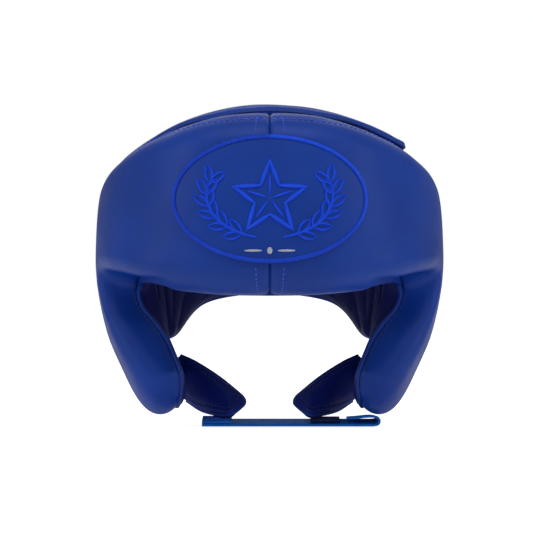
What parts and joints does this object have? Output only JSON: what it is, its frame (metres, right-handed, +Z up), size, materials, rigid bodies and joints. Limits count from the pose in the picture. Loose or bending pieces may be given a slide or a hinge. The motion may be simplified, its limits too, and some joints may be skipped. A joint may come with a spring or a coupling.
{
  "type": "boxing headgear",
  "caption": "Padded leather boxing head guard with cheek pads, ear slits, a peel-open crown flap, spreading rear wings with a strap closure, and a chin strap between padded tabs.",
  "frame": {"origin": "in the middle of the width and the depth, level with the underside of the chin strap, which is the lowest face", "axes": "+Z up, the wearer faces -Y, the wearer's left is +X"},
  "size_m": [0.2416, 0.2576, 0.218],
  "materials": {
    "leather_outer": "smooth semi-matt royal blue cowhide",
    "leather_lining": "soft matt navy lining leather",
    "foam": "closed-cell foam",
    "thread": "satin-stitched thread",
    "webbing": "woven polyester webbing",
    "hook_and_loop": "matt hook-and-loop tape"
  },
  "bodies": {
    "shell": {"leather_shell_left": "leather_outer", "leather_shell_right": "leather_outer", "brow_foam": "foam", "brow_lining": "leather_lining", "cheek_foam_left": "foam", "cheek_foam_right": "foam", "cheek_lining_left": "leather_lining", "cheek_lining_right": "leather_lining", "cheek_piping_left": "leather_outer", "cheek_piping_right": "leather_outer", "badge_panel": "leather_outer", "badge_border": "thread", "badge_emblem": "thread", "ear_surround_cover_left": "leather_outer", "ear_surround_foam_left": "foam", "ear_surround_lining_left": "leather_lining", "ear_surround_cover_right": "leather_outer", "ear_surround_foam_right": "foam", "ear_surround_lining_right": "leather_lining", "crown_anchor": "leather_outer", "crown_loop_patch": "hook_and_loop"},
    "crown_flap": {"crown_flap_cover": "leather_outer", "crown_flap_padding": "foam", "crown_flap_lining": "leather_lining", "crown_hook_patch": "hook_and_loop"},
    "rear_wing_left": {"rear_wing_cover_left": "leather_outer", "rear_wing_foam_left": "foam", "rear_wing_lining_left": "leather_lining", "rear_loop_patch": "hook_and_loop"},
    "rear_wing_right": {"rear_wing_cover_right": "leather_outer", "rear_wing_foam_right": "foam", "rear_wing_lining_right": "leather_lining", "rear_strap_base": "leather_outer"},
    "rear_closure": {"rear_closure_strap": "leather_outer", "rear_hook_patch": "hook_and_loop"},
    "chin_tab_left": {"chin_tab_cover_left": "leather_lining", "chin_tab_foam_left": "foam", "chin_tab_lining_left": "leather_lining", "chin_loop_patch": "hook_and_loop", "jaw_gusset_left": "leather_lining"},
    "chin_tab_right": {"chin_tab_cover_right": "leather_lining", "chin_tab_foam_right": "foam", "chin_tab_lining_right": "leather_lining", "chin_strap_base": "webbing", "jaw_gusset_right": "leather_lining"},
    "chin_strap": {"chin_strap": "webbing", "chin_strap_pull": "webbing", "chin_hook_patch": "hook_and_loop"}
  },
  "joints": [
    {"name": "crown_flap_peel", "type": "hinge", "parent": "shell", "child": "crown_flap", "pos_m": [-0.0867, 0.0036, 0.1932], "axis": [0, -1, 0], "range_deg": [0, 110]},
    {"name": "rear_wing_right_spread", "type": "hinge", "parent": "shell", "child": "rear_wing_right", "pos_m": [-0.0942, 0.0516, 0.07], "axis": [-0.0413, -0.0137, 0.9991], "range_deg": [0, 40]},
    {"name": "rear_wing_left_spread", "type": "hinge", "parent": "shell", "child": "rear_wing_left", "pos_m": [0.0942, 0.0516, 0.07], "axis": [-0.0413, 0.0137, -0.9991], "range_deg": [0, 40]},
    {"name": "rear_closure_peel", "type": "hinge", "parent": "rear_wing_right", "child": "rear_closure", "pos_m": [-0.0223, 0.1263, 0.104], "axis": [0.0156, -0.0865, 0.9961], "range_deg": [0, 120]},
    {"name": "chin_tab_right_drop", "type": "hinge", "parent": "shell", "child": "chin_tab_right", "pos_m": [-0.0745, 0.0204, 0.0562], "axis": [-0.1946, 0.7874, 0.5848], "range_deg": [0, 35]},
    {"name": "chin_tab_left_drop", "type": "hinge", "parent": "shell", "child": "chin_tab_left", "pos_m": [0.0745, 0.0204, 0.0562], "axis": [-0.1946, -0.7874, -0.5848], "range_deg": [0, 35]},
    {"name": "chin_strap_peel", "type": "hinge", "parent": "chin_tab_right", "child": "chin_strap", "pos_m": [-0.0247, -0.0234, 0], "axis": [0, 1, 0], "range_deg": [0, 100]}
  ],
  "couplings": [
    {"joint": "rear_wing_left_spread", "follows": "rear_wing_right_spread", "ratio": 1},
    {"joint": "chin_tab_left_drop", "follows": "chin_tab_right_drop", "ratio": 1}
  ]
}
